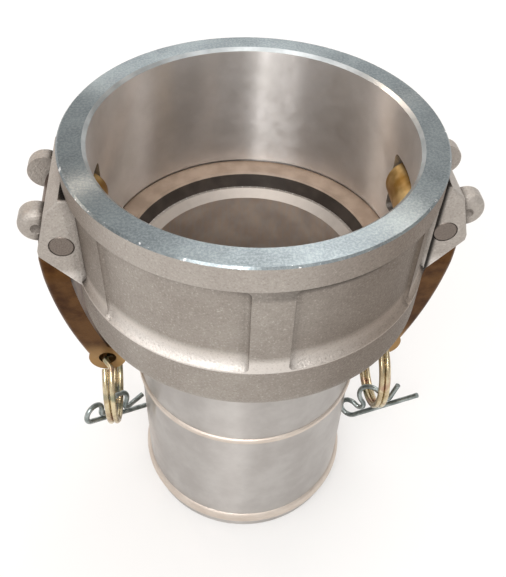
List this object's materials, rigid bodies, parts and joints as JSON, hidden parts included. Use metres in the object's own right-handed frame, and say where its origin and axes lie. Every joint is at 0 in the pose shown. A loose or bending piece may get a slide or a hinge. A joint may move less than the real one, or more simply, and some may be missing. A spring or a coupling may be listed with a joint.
{
  "type": "lugged sewer hose adapter",
  "caption": "Cam-and-groove hose coupler: cast socket with two cam arms, pull rings, safety clips and a seal, on a beaded hose shank.",
  "frame": {"origin": "centre of the hose shank's end face, on the coupler's axis, which is also the plane that it stands on", "axes": "+Z along the axis out of the socket's mouth; the cam arms lie on the +X and -X sides; -Y is the side that the picture shows"},
  "size_m": [0.1738, 0.1416, 0.207],
  "materials": {
    "cast_aluminium": "sand-cast body, blasted outside, bore, rim and shank turned",
    "cast_brass": "sand-cast brass, dull",
    "pin_steel": "drawn steel pin, ends dark",
    "seal_rubber": "tan moulded rubber, matt",
    "yellow_zinc_wire": "spring wire, yellow zinc plated",
    "blue_zinc_wire": "spring wire, blue zinc plated"
  },
  "bodies": {
    "body": {"coupler_body": "cast_aluminium", "gasket": "seal_rubber", "hinge_pin_right": "pin_steel", "hinge_pin_left": "pin_steel"},
    "arm_right": {"cam_arm_right": "cast_brass"},
    "ring_right": {"pull_ring_right": "yellow_zinc_wire"},
    "clip_right": {"safety_clip_right": "blue_zinc_wire"},
    "arm_left": {"cam_arm_left": "cast_brass"},
    "ring_left": {"pull_ring_left": "yellow_zinc_wire"},
    "clip_left": {"safety_clip_left": "blue_zinc_wire"}
  },
  "joints": [
    {"name": "arm_right_swing", "type": "hinge", "parent": "body", "child": "arm_right", "pos_m": [0.0716, 0, 0.1755], "axis": [0, -1, 0], "range_deg": [0, 100]},
    {"name": "ring_right_swing", "type": "hinge", "parent": "arm_right", "child": "ring_right", "pos_m": [0.0655, 0, 0.0885], "axis": [0, -1, 0], "range_deg": [0, 100]},
    {"name": "clip_right_slide_round", "type": "hinge", "parent": "ring_right", "child": "clip_right", "pos_m": [0.0655, 0, 0.06595], "axis": [1, 0, 0], "range_deg": [-25, 10]},
    {"name": "arm_left_swing", "type": "hinge", "parent": "body", "child": "arm_left", "pos_m": [-0.0716, 0, 0.1755], "axis": [0, 1, 0], "range_deg": [0, 100]},
    {"name": "ring_left_swing", "type": "hinge", "parent": "arm_left", "child": "ring_left", "pos_m": [-0.0655, 0, 0.0885], "axis": [0, 1, 0], "range_deg": [0, 100]},
    {"name": "clip_left_slide_round", "type": "hinge", "parent": "ring_left", "child": "clip_left", "pos_m": [-0.0655, 0, 0.06595], "axis": [1, 0, 0], "range_deg": [-4, 40]}
  ]
}
